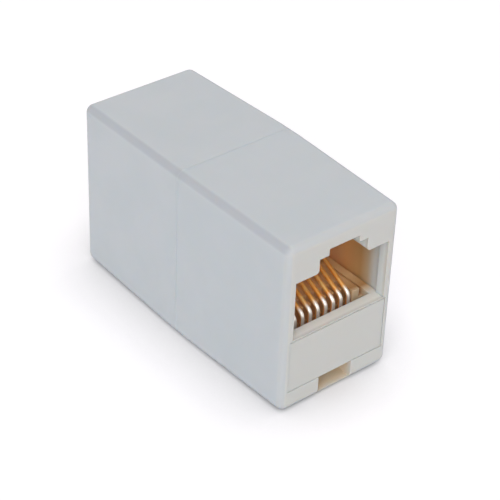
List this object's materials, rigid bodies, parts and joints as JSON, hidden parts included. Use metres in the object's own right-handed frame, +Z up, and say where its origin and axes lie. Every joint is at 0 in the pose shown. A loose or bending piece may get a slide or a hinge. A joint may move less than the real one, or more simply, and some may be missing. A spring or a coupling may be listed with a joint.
{
  "type": "rj45 inline coupler",
  "caption": "White box-shaped in-line coupler that joins two network cables end to end, with a keyed modular jack in each end.",
  "frame": {"origin": "middle of the underside, on the flat band where the two half shells meet", "axes": "+X across the case, +Y along it from the front jack to the rear jack, +Z up, with the keyways of both jacks on the +Z side"},
  "size_m": [0.015, 0.0336, 0.0203],
  "materials": {
    "case": "smooth white ABS, low sheen",
    "carrier": "smooth white ABS, low sheen",
    "contact": "gold-plated spring wire",
    "board": "green solder mask"
  },
  "bodies": {
    "root": {"front_shell": "case", "rear_shell": "case", "front_contact_carrier": "carrier", "rear_contact_carrier": "carrier", "circuit_board": "board", "front_contact_1": "contact", "front_contact_2": "contact", "front_contact_3": "contact", "front_contact_4": "contact", "front_contact_5": "contact", "front_contact_6": "contact", "front_contact_7": "contact", "front_contact_8": "contact", "rear_contact_1": "contact", "rear_contact_2": "contact", "rear_contact_3": "contact", "rear_contact_4": "contact", "rear_contact_5": "contact", "rear_contact_6": "contact", "rear_contact_7": "contact", "rear_contact_8": "contact"}
  },
  "joints": []
}
